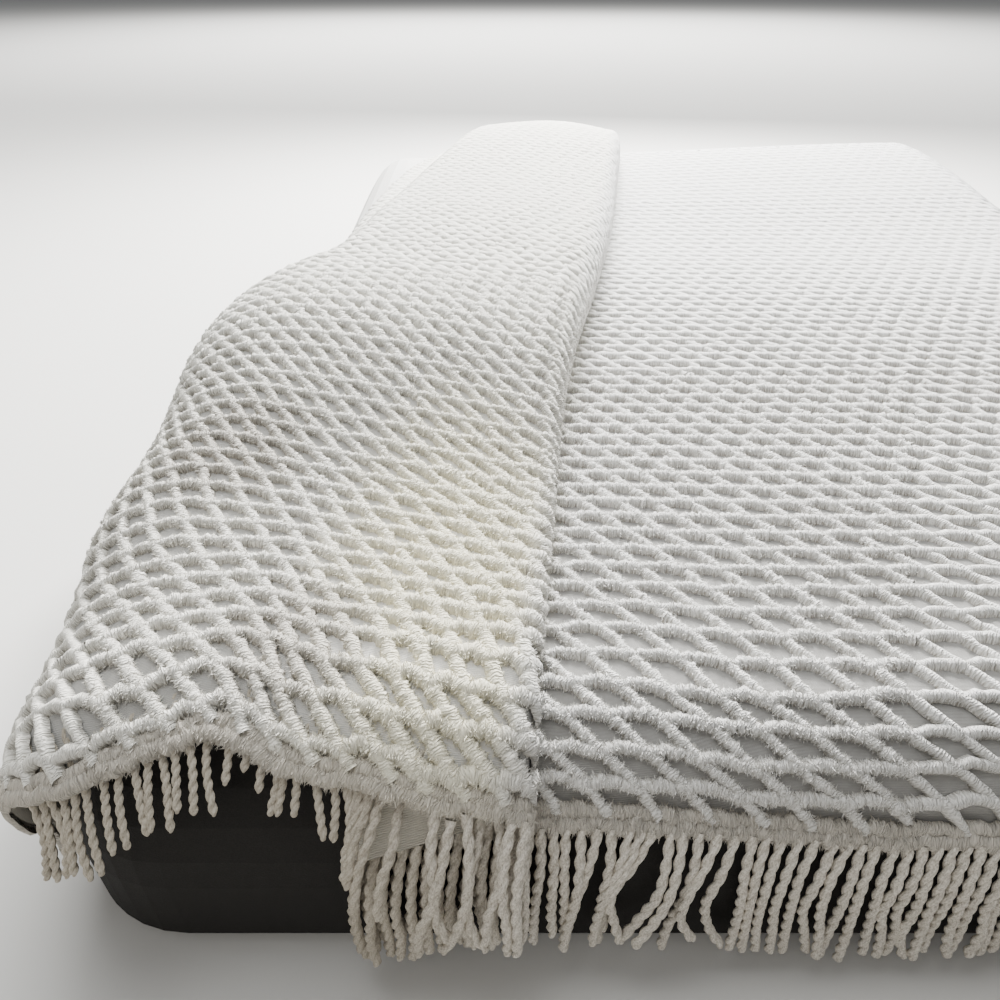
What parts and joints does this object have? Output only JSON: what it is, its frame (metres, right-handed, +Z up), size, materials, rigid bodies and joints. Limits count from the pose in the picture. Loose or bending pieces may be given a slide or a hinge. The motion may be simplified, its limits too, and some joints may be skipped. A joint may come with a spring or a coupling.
{
  "type": "chenille bedspread on mattress",
  "caption": "White tufted chenille bedspread with a corded fringe along its foot hem, its left part folded back in a loose Z, on a plain soft-edged mattress.",
  "frame": {"origin": "middle of the mattress's flat underside", "axes": "+Z up, +Y from the foot of the bed to its head, +X to the right as seen from the foot"},
  "size_m": [1.692, 2.2195, 0.3526],
  "materials": {
    "chenille": "matte tufted cotton on plain weave",
    "fringe": "matte twisted cotton cord",
    "mattress": "matte plain woven cover"
  },
  "bodies": {
    "root": {"bedspread": "chenille", "fringe": "fringe", "mattress": "mattress"}
  },
  "joints": []
}
